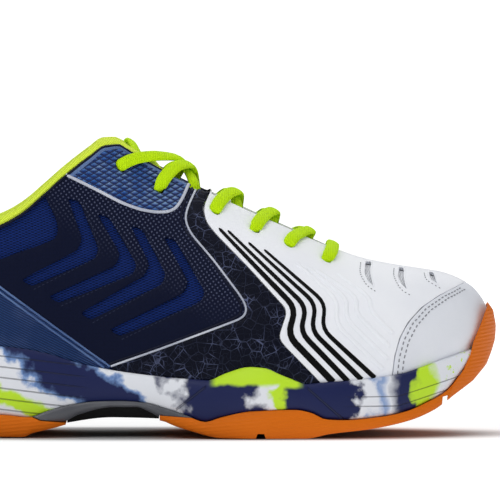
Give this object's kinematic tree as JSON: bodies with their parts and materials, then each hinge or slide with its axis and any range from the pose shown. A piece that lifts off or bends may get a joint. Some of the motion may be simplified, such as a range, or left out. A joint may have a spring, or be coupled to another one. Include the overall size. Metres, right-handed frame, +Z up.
{
  "type": "court shoe",
  "caption": "Low-cut right-foot court shoe with a laced synthetic upper, cup midsole, non-marking rubber outsoles, hinged tongue and lifting sockliner.",
  "frame": {"origin": "centre of the bounding box's bottom, on the ground under the middle of the shoe", "axes": "+X towards the toe, +Y towards the medial side, +Z up"},
  "size_m": [0.2902, 0.1078, 0.1228],
  "materials": {
    "gum_rubber": "satin moulded",
    "midsole_foam": "printed satin foam",
    "shank_plastic": "moulded",
    "fibre_board": "matt",
    "sock_cloth": "brushed knit",
    "stiffener": "matt",
    "padding": "foam",
    "collar_cloth": "brushed knit",
    "lining_cloth": "knit",
    "royal_mesh": "open mesh",
    "pale_mesh": "open mesh",
    "navy_skin": "matt perforated",
    "crinkle_skin": "raised crackle, satin",
    "diamond_skin": "embossed diamonds, satin",
    "metallic_skin": "ribbed, metallic",
    "white_skin": "smooth satin",
    "silver_piping": "metallic",
    "tongue_cloth": "open mesh",
    "lace_cord": "woven"
  },
  "bodies": {
    "shoe": {"midsole": "midsole_foam", "outsole_forefoot": "gum_rubber", "outsole_heel": "gum_rubber", "shank_plate": "shank_plastic", "lasting_board": "fibre_board", "heel_counter": "stiffener", "toe_puff": "stiffener", "collar_padding": "padding", "collar_lining": "collar_cloth", "vamp_lining": "lining_cloth", "quarter_mesh_lateral": "royal_mesh", "quarter_mesh_medial": "royal_mesh", "vamp_mesh": "pale_mesh", "quarter_overlay_lateral": "navy_skin", "quarter_overlay_medial": "navy_skin", "eyelet_tab_lateral": "diamond_skin", "eyelet_tab_medial": "diamond_skin", "saddle_lateral": "crinkle_skin", "saddle_medial": "crinkle_skin", "heel_panel_lateral": "metallic_skin", "heel_panel_medial": "metallic_skin", "heel_backstay": "navy_skin", "vamp": "white_skin", "toe_cap": "white_skin", "quarter_piping_lateral": "silver_piping", "quarter_piping_medial": "silver_piping", "tab_piping_lateral": "silver_piping", "tab_piping_medial": "silver_piping", "lace": "lace_cord"},
    "tongue_flap": {"tongue": "tongue_cloth", "tongue_lining": "collar_cloth"},
    "insole": {"sockliner": "sock_cloth"}
  },
  "joints": [
    {"name": "tongue_hinge", "type": "hinge", "parent": "shoe", "child": "tongue_flap", "pos_m": [0.084, 0, 0.062], "axis": [0, -1, 0], "range_deg": [0, 7], "stiffness_Nm_per_rad": 0.6},
    {"name": "sockliner_lift", "type": "hinge", "parent": "shoe", "child": "insole", "pos_m": [0.1288, 0, 0.0235], "axis": [0, 1, 0], "range_deg": [0, 4]}
  ]
}
